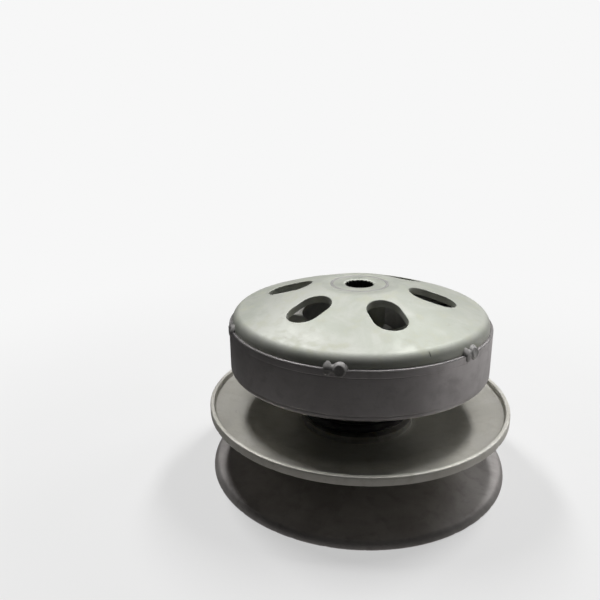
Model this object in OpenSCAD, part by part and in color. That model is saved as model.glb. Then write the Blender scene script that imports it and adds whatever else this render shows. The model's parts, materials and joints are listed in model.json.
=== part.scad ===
// Driven pulley and centrifugal clutch of a scooter belt drive, standing on its fixed face.
// Z is the shaft axis, pointing from the fixed face to the clutch bell, in millimetres.
// The origin is on the shaft axis, in the plane that the fixed face's rim rests on.

/* [Belt faces] */
// Outer radius of the fixed face
fixed_rim_r = 78.9; // [78:0.1:80]
// Outer radius of the movable face
movable_rim_r = 79.4; // [79:0.1:80]
// Angle between each groove side and a flat plane, in degrees
groove_angle = 14; // [13.5:0.1:14.5]
// Thickness of the sheet that both faces are pressed from
face_sheet = 3.2; // [3:0.1:3.4]
// Opening of the groove at its rim with the faces closed
groove_open = 28.3; // [28:0.1:28.6]
// Distance that the movable face slides open
travel = 11; // [9:0.5:11]
// Turn of the movable face on its cam over the full travel, in degrees
cam_turn = 32.3; // [28:0.1:34]

/* [Boss and bearings] */
// Radius of the drive shaft that the pulley turns on
shaft_r = 8.5; // [8.5:0.1:8.5]
// Outer radius of the boss that the movable face slides on
boss_r = 16.99; // [16.99:0.01:17]
// Outer radius of the ball bearing
bearing_r = 15; // [15:0.1:15]
// Width of the ball bearing
bearing_w = 7; // [7:0.1:7]
// Number of balls in the ball bearing
ball_count = 12; // [10:1:12]
// Number of needles in the needle bearing
needle_count = 16; // [12:1:16]

/* [Contra spring] */
// Diameter of the contra spring's wire
spring_wire_d = 4.4; // [4:0.1:4.4]
// Mean radius of the contra spring
spring_r = 26.9; // [26.7:0.1:27]
// Number of turns in the contra spring, with its closed ends
spring_turns = 4.75; // [4.25:0.25:4.75]

/* [Clutch] */
// Radius of the circle that the shoes pivot on
pivot_r = 47; // [46.5:0.1:47]
// Direction of the first shoe's pivot, in degrees
clutch_turn = -20; // [-60:1:60]
// Swing of each shoe from rest to the drum, in degrees
shoe_swing = 1.5; // [1:0.1:1.5]

/* [Clutch bell] */
// Radius of the friction face inside the bell
drum_r = 62.5; // [62.5:0.1:62.5]
// Thickness of the sheet that the bell is pressed from
bell_sheet = 3.5; // [3.4:0.1:3.5]
// Thickness of the band shrunk around the bell
band_t = 1.48; // [1.3:0.01:1.6]
// Height of the bell's flat top above the ground plane
bell_top = 99.7; // [99.7:0.1:100.5]
// Number of windows in the bell's dome
window_count = 6; // [4:1:6]
// Direction of the first window, in degrees
window_turn = -69.4; // [-90:0.1:-30]
// Number of teeth in the hub's spline
spline_teeth = 20; // [18:1:20]

/* [Hidden] */

fine = 120;      // facets of large round forms
mid = 48;        // facets of small round forms
coarse = 32;     // facets inside a hull
fit = 0.02;      // radial gap of pieces that are fastened together
cut = 1;         // how far a cutting shape runs past the surface it cuts

// groove sides
groove_rise = tan(groove_angle);
sheet_z = face_sheet / cos(groove_angle);    // sheet thickness measured along the axis
side_ref_r = 76;                             // radius at which fixed_side_z is measured
fixed_side_z = 4;
centre_r = 30;                               // radius of the flat centre of both faces
rim_flare = 0.25;                            // the groove is this much narrower at side_ref_r than at its rim
movable_side_z = fixed_side_z + groove_open - rim_flare;
fixed_flat_z = fixed_z(centre_r);
movable_flat_z = movable_z(centre_r);

// boss
flange_r = 29.5;
flange_top_z = fixed_flat_z - sheet_z;
flange_t = 3;
flange_z = flange_top_z - flange_t;
housing_r = 19.5;
boss_z = 0.6;
bearing_z = 3;
bearing_top_z = bearing_z + bearing_w;
bearing_mid_z = bearing_z + bearing_w / 2;
shoulder_z = 63;
thread_r = 14;
boss_end_z = 75;
flat_half = 12.5;                            // half the distance across the boss's two flats
rivet_pcr = 25.5;
rivet_r = 2;
rivet_count = 6;
rivet_sink = 1.3;                            // depth of the countersink for a rivet's flush head

// bearings
ball_r = 1.9;
ball_pcr = (shaft_r + bearing_r) / 2;
needle_r = 1;
needle_pcr = shaft_r + needle_r + 0.02;
needle_z = 51;
needle_len = 20;
needle_shell_r = 11.5;

// cam sleeve and seal collar
sleeve_r = 22;
sleeve_z = fixed_flat_z + 0.4;
sleeve_top_z = 51.5;
sleeve_flange_z = movable_flat_z + sheet_z + fit;
sleeve_flange_t = 2.4;
seal_r = 19.6;
o_ring_r = 0.6;
o_ring_low_z = 26.6;
o_ring_high_z = 48.9;
o_ring_groove = 1.4;
collar_in_r = sleeve_r + 0.13;
collar_r = 23.1;
collar_flange_z = sleeve_flange_z + sleeve_flange_t + 0.05;
collar_flange_t = 1;
collar_flange_r = 30;
collar_top_z = 50.6;

// guide pins and rollers
guide_z = 43.6;
guide_pin_r = 2;
roller_r = 3.5;
cam_gap = 0.06;

// contra spring
spring_z = collar_flange_z + collar_flange_t;
spring_top_z = 61;

// clutch
plate_t = 3.2;
plate_r = 57;
plate_low_z = 59;
plate_top_z = plate_low_z + plate_t;
shoe_z = 62.6;
shoe_h = 19;
shoe_in_r = 36;
shoe_ledge_r = 32.5;
shoe_ledge_z = 66;
shoe_out_r = 57.5;
shoe_arc = [6, 102];
lining_r = 61.2;
lining_z = 63.6;
lining_h = 16.4;
lining_arc = [12, 98];
pin_r = 4;
pin_end_r = 3.2;
side_plate_z = 82;
side_plate_t = 2;
clip_z = 84.15;
clip_t = 0.85;
pin_top_z = 86;
post_r = 2.5;
post_pcr = 46;
post_arc = 58;
rubber_r = 5.2;
rubber_h = 7;
shoe_spring_mid = [38, 78.6];                // radius and height of a shoe spring's axis
shoe_spring_arc = 110;
shoe_spring_half = 12.05;
shoe_spring_r = 2.2;
shoe_spring_wire_r = 0.6;
shoe_spring_turns = 9;
shoe_leg_z = 70;
spring_floor_z = shoe_spring_mid.y - 3.1;    // floor of the room for a shoe spring

// bell
bell_wall_r = drum_r + bell_sheet;
shoulder_r = 6;
shoulder_mid_r = bell_wall_r - shoulder_r;
dome_flat_r = 20;
dome_slope = 0.2483;                         // fall of the dome where it leaves its flat top
dome_bow = 0.001167;                         // growth of that fall, per millimetre squared
dome_run = shoulder_mid_r + 2 - dome_flat_r;  // radial length of the dome's curved part
dome_end_angle = atan(dome_slope + 2 * dome_bow * dome_run);
dome_end_r = shoulder_mid_r + shoulder_r * sin(dome_end_angle);
shoulder_mid_z = dome_z(dome_end_r) - shoulder_r * cos(dome_end_angle);
bell_rim_z = 57.9;
band_z = 57.15;
band_top_z = 81.1;
band_r = bell_wall_r + fit + band_t;
window_pcr = 37.1;
window_half_w = 8.3;
window_half_l = 11.8;
hub_r = 13.5;
hub_z = 77;
hub_shoulder_r = 18;
spline_r = 7;
spline_depth = 0.8;
hub_weld_r = 15.1;
weld_turn = window_turn - 30;
weld_slip = 1.4;                            // the welds sit this many degrees to one side and the other by turns
weld_arc = 9;

function fixed_z(r) = fixed_side_z + (side_ref_r - r) * groove_rise;
function movable_z(r) = movable_side_z - (side_ref_r - r) * groove_rise;
function dome_z(r) = bell_top - dome_slope * (r - dome_flat_r) - dome_bow * pow(r - dome_flat_r, 2);

// Points of an arc about [r, z], from angle a to angle b
function arc(r, z, radius, a, b, steps = 8) =
    [for (i = [0:steps]) let (w = a + (b - a) * i / steps) [r + radius * cos(w), z + radius * sin(w)]];

function unit(v) = v / norm(v);
function path_heading(path, i) = unit(path[min(i + 1, len(path) - 1)] - path[max(i - 1, 0)]);

// Ring of points around point i of a wire's path; up is any direction the wire never takes
function wire_ring(path, i, r, sides, up) =
    let (t = path_heading(path, i), a = unit(cross(t, up)), b = cross(t, a))
    [for (j = [0:sides - 1]) let (w = 360 * j / sides) path[i] + r * (cos(w) * a + sin(w) * b)];

// Round wire along a path, ground flat at the heights low and high
module wire(path, r, sides, up, low = -1000, high = 1000) {
    rings = len(path);
    points = [for (i = [0:rings - 1]) for (p = wire_ring(path, i, r, sides, up))
        [p.x, p.y, min(high, max(low, p.z))]];
    skin = [for (i = [0:rings - 2]) for (j = [0:sides - 1])
        let (a = i * sides + j, b = i * sides + (j + 1) % sides, c = a + sides, d = b + sides)
        each [[a, c, b], [b, c, d]]];
    ends = [[for (j = [0:sides - 1]) j], [for (j = [sides - 1:-1:0]) (rings - 1) * sides + j]];
    polyhedron(points, concat(skin, ends));
}

// Solid of revolution from an outline of [radius, height] points
module turned(outline, facets = fine) rotate_extrude($fn = facets) polygon(outline);

// Plain ring
module ring(inner_r, outer_r, z, h, facets = fine)
    turned([[inner_r, z], [outer_r, z], [outer_r, z + h], [inner_r, z + h]], facets);

module around(count, turn = 0) for (i = [0:count - 1]) rotate([0, 0, turn + i * 360 / count]) children();

// Places its child at clutch station i, with the station's pivot along X
module at_station(i) rotate([0, 0, clutch_turn + 120 * (i - 1)]) children();

module at_post(i) at_station(i) rotate([0, 0, post_arc]) translate([post_pcr, 0, 0]) children();

// ---- Fixed face ----

module fixed_driven_disc() {
    rim_round = 4;
    rim_mid_r = fixed_rim_r - rim_round;
    rim_mid_z = fixed_z(rim_mid_r + rim_round * sin(groove_angle)) - rim_round * cos(groove_angle);
    foot_r = 75.5;
    web_r = 72.6;
    color("dimgray") difference() {
        turned(concat(
            [[boss_r + fit, flange_top_z], [boss_r + fit, fixed_flat_z], [centre_r, fixed_flat_z]],
            arc(rim_mid_r, rim_mid_z, rim_round, 90 - groove_angle, 0),
            [[fixed_rim_r, 0.4], [fixed_rim_r - 0.4, 0], [foot_r, 0]],
            [[web_r, fixed_z(web_r) - sheet_z], [centre_r, flange_top_z]]
        ));
        around(rivet_count) translate([rivet_pcr, 0, 0]) {
            cylinder(r = rivet_r, h = fixed_flat_z + cut, $fn = mid);
            translate([0, 0, fixed_flat_z - rivet_sink])
                cylinder(r1 = rivet_r, r2 = rivet_r + rivet_sink + cut, h = rivet_sink + cut, $fn = mid);
        }
    }
}

module driven_face_boss() {
    groove_z = bearing_z - 1.15;
    groove_r = bearing_r + 0.9;
    shaft_clear_r = 10.5;
    color("silver") difference() {
        turned([
            [housing_r, boss_z], [housing_r, flange_z], [flange_r, flange_z], [flange_r, flange_top_z],
            [boss_r, flange_top_z], [boss_r, shoulder_z], [thread_r, shoulder_z],
            [thread_r, boss_end_z - 0.8], [thread_r - 0.8, boss_end_z], [needle_shell_r + fit, boss_end_z],
            [needle_shell_r + fit, needle_z], [shaft_clear_r, needle_z], [shaft_clear_r, bearing_top_z],
            [bearing_r + fit, bearing_top_z], [bearing_r + fit, bearing_z], [groove_r, bearing_z],
            [groove_r, groove_z], [bearing_r + fit, groove_z], [bearing_r + fit, boss_z + 0.5],
            [bearing_r + 0.6, boss_z]
        ]);
        for (side = [0, 180]) rotate([0, 0, side])
            translate([flat_half, -thread_r - cut, shoulder_z])
                cube([thread_r, 2 * (thread_r + cut), boss_end_z - shoulder_z + cut]);
        around(rivet_count) translate([rivet_pcr, 0, flange_z - cut])
            cylinder(r = rivet_r, h = flange_t + 2 * cut, $fn = mid);
        around(3) translate([13, 0, guide_z]) rotate([0, 90, 0]) cylinder(r = guide_pin_r, h = 10, $fn = mid);
    }
}

module disc_rivets() {
    head_r = 3.4;
    shank_r = rivet_r - fit;
    below = 0.05;
    color("gray") around(rivet_count) translate([rivet_pcr, 0, 0]) turned([
        [0, flange_z - 1.7], [1.9, flange_z - 1.55], [2.9, flange_z - 1], [head_r, flange_z - 0.3],
        [head_r, flange_z], [shank_r, flange_z], [shank_r, fixed_flat_z - rivet_sink],
        [shank_r + rivet_sink - below, fixed_flat_z - below], [0, fixed_flat_z - below]
    ], mid);
}

module guide_pins() {
    color("lightgray") around(3) translate([13.05, 0, guide_z]) rotate([0, 90, 0])
        cylinder(r = guide_pin_r - fit, h = 8.2, $fn = mid);
}

// ---- Ball bearing and needle bearing ----

module ball_track() rotate_extrude($fn = fine) translate([ball_pcr, bearing_mid_z])
    circle(r = ball_r + 0.05, $fn = mid);

module bearing_outer_ring() {
    color("silver") difference() {
        ring(bearing_r - 2.1, bearing_r, bearing_z, bearing_w);
        ball_track();
    }
}

module bearing_inner_ring() {
    color("silver") difference() {
        ring(shaft_r, shaft_r + 2.1, bearing_z, bearing_w);
        ball_track();
    }
}

module bearing_seal() {
    color([0.12, 0.12, 0.13]) ring(shaft_r + 2.18, bearing_r - 2.1 - fit, bearing_z + 0.1, 0.6);
}

module bearing_snap_ring() {
    thick = 1.1;
    z = bearing_z - thick - 0.02;
    color("gray") difference() {
        ring(bearing_r - 1.6, bearing_r + 0.85, z, thick);
        translate([0, -3.2, z - cut]) cube([bearing_r + 2, 6.4, thick + 2 * cut]);
        for (side = [-1, 1]) rotate([0, 0, side * 16]) translate([bearing_r - 0.7, 0, z - cut])
            cylinder(r = 0.45, h = thick + 2 * cut, $fn = mid);
    }
}

module bearing_balls() {
    color("white") around(ball_count) translate([ball_pcr, 0, bearing_mid_z]) sphere(r = ball_r, $fn = mid);
}

module bearing_cage() {
    half_w = 2.3;
    color("goldenrod") difference() {
        ring(ball_pcr - 0.6, ball_pcr + 0.6, bearing_mid_z - half_w, 2 * half_w);
        around(ball_count) translate([ball_pcr, 0, bearing_mid_z]) sphere(r = ball_r + 0.06, $fn = mid);
    }
}

module needle_shell() {
    lip_r = 9.95;
    wall = 0.95;
    z = needle_z + 0.02;
    top = z + needle_len;
    color("silver") turned([
        [lip_r, z], [needle_shell_r, z], [needle_shell_r, top], [lip_r, top], [lip_r, top - wall],
        [needle_shell_r - wall, top - wall], [needle_shell_r - wall, z + wall], [lip_r, z + wall]
    ]);
}

module needle_cage() {
    z = needle_z + 1.2;
    h = needle_len - 2.4;
    rim = 0.9;
    color("goldenrod") difference() {
        ring(needle_pcr - 0.35, needle_pcr + 0.35, z, h);
        around(needle_count) translate([needle_pcr - 2, -needle_r - 0.05, z + rim])
            cube([4, 2 * needle_r + 0.1, h - 2 * rim]);
    }
}

module needle_rollers() {
    z = needle_z + 2.15;
    color("white") around(needle_count) translate([needle_pcr, 0, z])
        cylinder(r = needle_r, h = needle_len - 4.3, $fn = mid);
}

// ---- Movable face, its cam and its seals ----

module movable_driven_disc() {
    lip_in_r = movable_rim_r - 2.4;
    lip_top_z = 37.5;
    edge_z = 32.8;
    dish_r = lip_in_r - 1.6;
    color("darkseagreen") turned(concat(
        [[sleeve_r + fit, movable_flat_z], [centre_r, movable_flat_z]],
        [[movable_rim_r - 1.2, movable_z(movable_rim_r - 1.2)], [movable_rim_r, edge_z + 0.6]],
        arc(movable_rim_r - 0.7, lip_top_z - 0.7, 0.7, 0, 90, 5),
        arc(lip_in_r + 0.6, lip_top_z - 0.6, 0.6, 90, 180, 4),
        arc(lip_in_r - 1.4, movable_z(dish_r) + sheet_z * 0.8 + 1.4, 1.4, 0, -76, 5),
        [[centre_r + 4, movable_z(centre_r + 4) + sheet_z], [centre_r + 1, movable_flat_z + sheet_z],
         [sleeve_r + fit, movable_flat_z + sheet_z]]
    ));
}

// Cam slot in the sleeve: the roller starts at its top and ends travel lower
module cam_slot() {
    slope = atan(travel / (PI * 19.5 * cam_turn / 180));
    half = (roller_r + cam_gap) / sin(slope);
    over = roller_r * cos(slope);
    height = travel + 2 * over;
    twist = cam_turn * height / travel;
    z = guide_z - travel - over;
    translate([0, 0, z]) rotate([0, 0, -twist * (height - over) / height])
        linear_extrude(height = height, twist = -twist, slices = 14)
            polygon([[sleeve_r - 6, -half * 0.9], [sleeve_r + 1, -half * 1.08], [sleeve_r + 1, half * 1.08],
                     [sleeve_r - 6, half * 0.9]]);
    for (end = [0, 1]) rotate([0, 0, -cam_turn * end]) translate([14, 0, guide_z - travel * end])
        rotate([0, 90, 0]) cylinder(r = roller_r + 0.15, h = 10, $fn = mid);
}

module cam_sleeve() {
    groove_r = sleeve_r - 1.15;
    slide_r = boss_r + 0.04;
    low_seal_z = sleeve_z + 4;
    high_seal_z = sleeve_top_z - 2.9;
    flange_top = sleeve_flange_z + sleeve_flange_t;
    color("slategray") difference() {
        turned([
            [seal_r, sleeve_z], [sleeve_r, sleeve_z], [sleeve_r, sleeve_flange_z], [30, sleeve_flange_z],
            [30, flange_top], [sleeve_r, flange_top], [sleeve_r, o_ring_low_z], [groove_r, o_ring_low_z],
            [groove_r, o_ring_low_z + o_ring_groove], [sleeve_r, o_ring_low_z + o_ring_groove],
            [sleeve_r, o_ring_high_z], [groove_r, o_ring_high_z], [groove_r, o_ring_high_z + o_ring_groove],
            [sleeve_r, o_ring_high_z + o_ring_groove], [sleeve_r, sleeve_top_z], [seal_r, sleeve_top_z],
            [seal_r, high_seal_z], [slide_r, high_seal_z], [slide_r, low_seal_z], [seal_r, low_seal_z]
        ]);
        around(3) cam_slot();
    }
}

module sleeve_oil_seals() {
    lip_r = boss_r + 0.05;
    color([0.2, 0.1, 0.06]) for (z = [sleeve_z + 0.1, sleeve_top_z - 2.85]) turned([
        [lip_r + 0.5, z], [seal_r - fit, z], [seal_r - fit, z + 2.7], [lip_r + 0.9, z + 2.7],
        [lip_r + 0.9, z + 1.9], [lip_r, z + 1.4], [lip_r + 0.5, z + 0.7]
    ]);
}

module collar_o_rings() {
    color([0.1, 0.1, 0.1]) for (z = [o_ring_low_z, o_ring_high_z])
        rotate_extrude($fn = fine) translate([sleeve_r - 0.53, z + o_ring_groove / 2])
            circle(r = o_ring_r, $fn = mid);
}

module seal_collar() {
    top = collar_flange_z + collar_flange_t;
    color("gainsboro") turned(concat(
        [[collar_in_r, collar_flange_z], [collar_flange_r, collar_flange_z], [collar_flange_r, top]],
        arc(collar_r + 0.8, top + 0.8, 0.8, 270, 180, 4),
        [[collar_r, collar_top_z], [collar_in_r, collar_top_z]]
    ));
}

module guide_roller() {
    translate([17.35, 0, guide_z]) rotate([0, 90, 0]) difference() {
        cylinder(r = roller_r, h = 4.2, $fn = mid);
        translate([0, 0, -cut]) cylinder(r = guide_pin_r + 0.02, h = 4.2 + 2 * cut, $fn = mid);
    }
}
module guide_roller_1() color("whitesmoke") guide_roller();
module guide_roller_2() color("whitesmoke") rotate([0, 0, 120]) guide_roller();
module guide_roller_3() color("whitesmoke") rotate([0, 0, 240]) guide_roller();

// ---- Contra spring and its upper seat ----

// Height of the coil's centreline after a number of turns: closed at both ends, open between
function coil_z(turn) =
    let (closed = 0.9, pitch = spring_wire_d + 0.08, rise = spring_top_z - spring_z,
         open_pitch = (rise - 2 * closed * pitch) / (spring_turns - 2 * closed))
    spring_z + min(turn, closed) * pitch
    + max(0, min(turn, spring_turns - closed) - closed) * open_pitch
    + max(0, turn - spring_turns + closed) * pitch;

module contra_spring() {
    steps = round(spring_turns * 28);
    path = [for (i = [0:steps]) let (turn = spring_turns * i / steps)
        [spring_r * cos(360 * turn), spring_r * sin(360 * turn), coil_z(turn)]];
    color([0.16, 0.16, 0.17])
        wire(path, spring_wire_d / 2, 12, [0, 0, 1], spring_z + 0.01, spring_top_z - 0.01);
}

module upper_spring_seat() {
    lip_r = 23.6;
    color([0.14, 0.14, 0.15]) turned([
        [lip_r, spring_top_z - 3], [lip_r + 0.8, spring_top_z - 3], [lip_r + 0.8, spring_top_z],
        [30, spring_top_z], [30, shoulder_z], [lip_r, shoulder_z]
    ]);
}

// ---- Centrifugal clutch ----

module clutch_drive_plate() {
    color("rosybrown") difference() {
        turned([
            [10, shoulder_z], [30.2, shoulder_z], [35.2, plate_low_z], [plate_r, plate_low_z],
            [plate_r, plate_top_z], [36, plate_top_z], [31, shoulder_z + plate_t], [10, shoulder_z + plate_t]
        ]);
        intersection() {
            translate([0, 0, shoulder_z - cut])
                cylinder(r = thread_r + 0.03, h = plate_t + 2 * cut, $fn = fine);
            translate([-flat_half - 0.03, -20, shoulder_z - cut])
                cube([2 * flat_half + 0.06, 40, plate_t + 2 * cut]);
        }
        for (i = [1:3]) at_station(i) translate([pivot_r, 0, plate_low_z - cut])
            cylinder(r = pin_r, h = plate_t + 2 * cut, $fn = mid);
        for (i = [1:3]) at_post(i) translate([0, 0, plate_low_z - cut])
            cylinder(r = post_r, h = plate_t + 2 * cut, $fn = mid);
    }
}

module clutch_nut() {
    z = shoulder_z + plate_t;
    h = 6.8;
    across = 39;
    hex_r = across / (2 * cos(30));
    color("darkgray") difference() {
        intersection() {
            translate([0, 0, z]) cylinder(r = hex_r, h = h, $fn = 6);
            turned([[0, z], [across / 2 + 0.6, z], [hex_r, z + 1.2], [hex_r, z + h - 1.4],
                    [across / 2, z + h], [0, z + h]]);
        }
        translate([0, 0, z - cut]) cylinder(r = thread_r + fit, h = h + 2 * cut, $fn = fine);
    }
}

module pivot_pins() {
    groove_r = 2.5;
    head_r = 5.6;
    color("silver") for (i = [1:3]) at_station(i) translate([pivot_r, 0, 0]) turned([
        [0, plate_low_z - 1.2], [head_r - 0.6, plate_low_z - 1.2], [head_r, plate_low_z - 0.6],
        [head_r, plate_low_z],
        [pin_r - fit, plate_low_z], [pin_r - fit, side_plate_z], [pin_end_r, side_plate_z],
        [pin_end_r, clip_z - 0.05], [groove_r, clip_z - 0.05], [groove_r, clip_z + clip_t + 0.05],
        [pin_end_r, clip_z + clip_t + 0.05], [pin_end_r, pin_top_z - 0.4], [pin_end_r - 0.4, pin_top_z],
        [0, pin_top_z]
    ], mid);
}

module damper_posts() {
    top = plate_top_z + rubber_h + 0.6;
    color("silver") for (i = [1:3]) at_post(i) turned([
        [0, plate_low_z - 1.1], [4, plate_low_z - 1.1], [4.4, plate_low_z - 0.7], [4.4, plate_low_z],
        [post_r - fit, plate_low_z], [post_r - fit, top], [0, top]
    ], mid);
}

module damper_rubbers() {
    z = plate_top_z + 0.3;
    color([0.1, 0.1, 0.1]) for (i = [1:3]) at_post(i)
        turned([[post_r, z], [rubber_r - 0.5, z], [rubber_r, z + 0.5], [rubber_r, z + rubber_h - 0.5],
                [rubber_r - 0.5, z + rubber_h], [post_r, z + rubber_h]], mid);
}

// Room for a shoe spring in the top of a shoe
module spring_room(turn) {
    inner_x = 30;
    outer_x = shoe_spring_mid.x + 3.2;
    half_len = shoe_spring_half + 3.2;
    rotate([0, 0, shoe_spring_arc + turn])
        translate([inner_x, -half_len, spring_floor_z])
            cube([outer_x - inner_x, 2 * half_len, shoe_h]);
}

// Half of the way that a point travels when the shoe with that pivot swings out
function half_swing(at, pivot) = PI / 180 * shoe_swing / 2 * [at.y - pivot.y, pivot.x - at.x];
// Middle of the path that a still post takes, as seen from a shoe with its pivot on X
function passing(at) = at - half_swing(at, [pivot_r, 0]);

// Place of a shoe spring's leg in the frame of a shoe: end is -1 for the leg at the shoe's free end and 1
// for the leg at its pivot
function leg_place(end) =
    let (turn = end < 0 ? shoe_spring_arc : shoe_spring_arc - 120,
         x = shoe_spring_mid.x - end * shoe_spring_r, y = end * shoe_spring_half)
    [x * cos(turn) - y * sin(turn), x * sin(turn) + y * cos(turn)];

module leg_hole(at, r) translate([at.x, at.y, shoe_leg_z - 0.5])
    cylinder(r = r, h = spring_floor_z - shoe_leg_z + cut, $fn = mid);

// A shoe with its pivot on X, its free end turned towards +Y
module shoe() {
    boss_round = 9;
    pocket = passing(post_pcr * [cos(post_arc), sin(post_arc)]);
    free_leg = leg_place(-1);
    next_pivot = pivot_r * [cos(120), sin(120)];
    difference() {
        union() {
            sector(shoe_arc, shoe_in_r, shoe_out_r, shoe_z, shoe_h);
            sector(shoe_arc, shoe_ledge_r, shoe_in_r + cut, shoe_ledge_z, shoe_z + shoe_h - shoe_ledge_z);
            translate([pivot_r, 0, shoe_z]) cylinder(r = boss_round, h = shoe_h, $fn = mid);
        }
        translate([pivot_r, 0, shoe_z - cut]) cylinder(r = pin_r + 0.04, h = shoe_h + 2 * cut, $fn = mid);
        translate([pocket.x, pocket.y, shoe_z - cut])
            cylinder(r = rubber_r + 1.4, h = rubber_h + 2.4, $fn = mid);
        spring_room(0);
        spring_room(-120);
        leg_hole(passing(free_leg) + half_swing(free_leg, next_pivot), 1.9);
        leg_hole(leg_place(1), shoe_spring_wire_r + 0.1);
    }
}
module shoe_1() color("lightgray") at_station(1) shoe();
module shoe_2() color("lightgray") at_station(2) shoe();
module shoe_3() color("lightgray") at_station(3) shoe();

// Ring sector with its ends at the two angles of span
module sector(span, inner_r, outer_r, z, h) rotate([0, 0, span[0]])
    rotate_extrude(angle = span[1] - span[0], $fn = fine)
        translate([inner_r, z]) square([outer_r - inner_r, h]);

module lining() sector(lining_arc, shoe_out_r + fit, lining_r, lining_z, lining_h);
module shoe_lining_1() color([0.35, 0.3, 0.25]) at_station(1) lining();
module shoe_lining_2() color([0.35, 0.3, 0.25]) at_station(2) lining();
module shoe_lining_3() color([0.35, 0.3, 0.25]) at_station(3) lining();

// Spring that draws a shoe's free end to the next shoe: a coil along Y with a leg down at each end
module shoe_spring() {
    c = shoe_spring_mid;
    turns = shoe_spring_turns + 0.5;
    steps = turns * 12;
    coil = [for (i = [0:steps]) let (w = 360 * turns * i / steps)
        [c.x + shoe_spring_r * cos(w), shoe_spring_half * (2 * i / steps - 1), c.y + shoe_spring_r * sin(w)]];
    path = concat([[c.x + shoe_spring_r, -shoe_spring_half, shoe_leg_z]], coil,
                  [[c.x - shoe_spring_r, shoe_spring_half, shoe_leg_z]]);
    rotate([0, 0, shoe_spring_arc]) wire(path, shoe_spring_wire_r, 6, [0, 1, 0]);
}
module shoe_spring_1() color("silver") at_station(1) rotate([0, 0, -120]) shoe_spring();
module shoe_spring_2() color("silver") at_station(2) rotate([0, 0, -120]) shoe_spring();
module shoe_spring_3() color("silver") at_station(3) rotate([0, 0, -120]) shoe_spring();

module clutch_side_plate() {
    lobe_r = 8.5;
    rim_r = 35;
    opening_r = 29.5;
    color("darkkhaki") difference() {
        union() {
            hull() for (i = [1:3]) at_station(i) translate([pivot_r, 0, side_plate_z])
                cylinder(r = lobe_r, h = side_plate_t, $fn = coarse);
            translate([0, 0, side_plate_z]) cylinder(r = rim_r, h = side_plate_t, $fn = fine);
        }
        translate([0, 0, side_plate_z - cut]) cylinder(r = opening_r, h = side_plate_t + 2 * cut, $fn = fine);
        for (i = [1:3]) at_station(i) translate([pivot_r, 0, side_plate_z - cut])
            cylinder(r = pin_end_r + fit, h = side_plate_t + 2 * cut, $fn = mid);
    }
}

module pivot_clips() {
    color("gray") for (i = [1:3]) at_station(i) translate([pivot_r, 0, 0]) difference() {
        ring(2.52, 5.4, clip_z, clip_t, mid);
        translate([0, -2.1, clip_z - cut]) cube([8, 4.2, clip_t + 2 * cut]);
    }
}

// ---- Clutch bell ----

// Outline of the bell's outer skin, from the edge of its flat top down to its rim; grow moves it outwards
function bell_skin(grow) = concat(
    [for (i = [0:6]) let (r = dome_flat_r + (dome_end_r - 1 - dome_flat_r) * i / 6) [r, dome_z(r) + grow]],
    arc(shoulder_mid_r, shoulder_mid_z, shoulder_r + grow, 90 - dome_end_angle, 0),
    [[bell_wall_r + grow, bell_rim_z]]
);

// The same outline on the inside of the sheet, from the rim up
function bell_lining() = concat(
    [[drum_r, bell_rim_z]],
    arc(shoulder_mid_r, shoulder_mid_z, shoulder_r - bell_sheet, 0, 90 - dome_end_angle),
    [for (i = [5:-1:0])
        let (r = dome_flat_r + (dome_end_r - 4 - dome_flat_r) * i / 6,
             fall = i == 0 ? 0 : dome_slope + 2 * dome_bow * (r - dome_flat_r))
        [r, dome_z(r) - bell_sheet * sqrt(1 + fall * fall)]]
);

// A slot with round ends, its long way pointing at the axis, cut straight down through the dome
module window() {
    reach = window_half_l - window_half_w;
    translate([window_pcr, 0, hub_z]) linear_extrude(height = 40) {
        for (end = [-1, 1]) translate([end * reach, 0]) circle(r = window_half_w, $fn = fine);
        square([2 * reach, 2 * window_half_w], center = true);
    }
}

module clutch_bell() {
    color([0.8, 0.82, 0.76]) difference() {
        turned(concat(
            [[hub_r + fit, bell_top - 1.3], [hub_weld_r, bell_top]], bell_skin(0), bell_lining(),
            [[hub_r + fit, bell_top - bell_sheet]]
        ));
        around(window_count, window_turn) window();
    }
}

module bell_band() {
    in_r = bell_wall_r + fit;
    line_z = band_z + 2.3;
    color([0.3, 0.27, 0.27]) turned([
        [in_r, band_z], [band_r - 0.5, band_z], [band_r, band_z + 0.9], [band_r, line_z - 0.25],
        [band_r - 0.2, line_z], [band_r, line_z + 0.25], [band_r, band_top_z - 0.35],
        [band_r - 0.35, band_top_z], [in_r, band_top_z]
    ]);
}

module bell_hub() {
    tooth = 360 / spline_teeth;
    gap = 2 * PI * spline_r / spline_teeth / 2;
    shoulder_top = bell_top - bell_sheet - 0.01;
    color([0.7, 0.72, 0.68]) difference() {
        turned([
            [spline_r, hub_z], [hub_r - 0.8, hub_z], [hub_r, hub_z + 0.8], [hub_r, shoulder_top - 3.4],
            [hub_shoulder_r, shoulder_top - 2.4], [hub_shoulder_r, shoulder_top], [hub_r, shoulder_top],
            [hub_r, bell_top], [spline_r + spline_depth + 0.5, bell_top], [spline_r, bell_top - 1.2]
        ]);
        for (i = [0:spline_teeth - 1]) rotate([0, 0, i * tooth])
            translate([spline_r - 1, -gap / 2, hub_z - cut])
                cube([1 + spline_depth, gap, bell_top - hub_z + 2 * cut]);
    }
}

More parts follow.
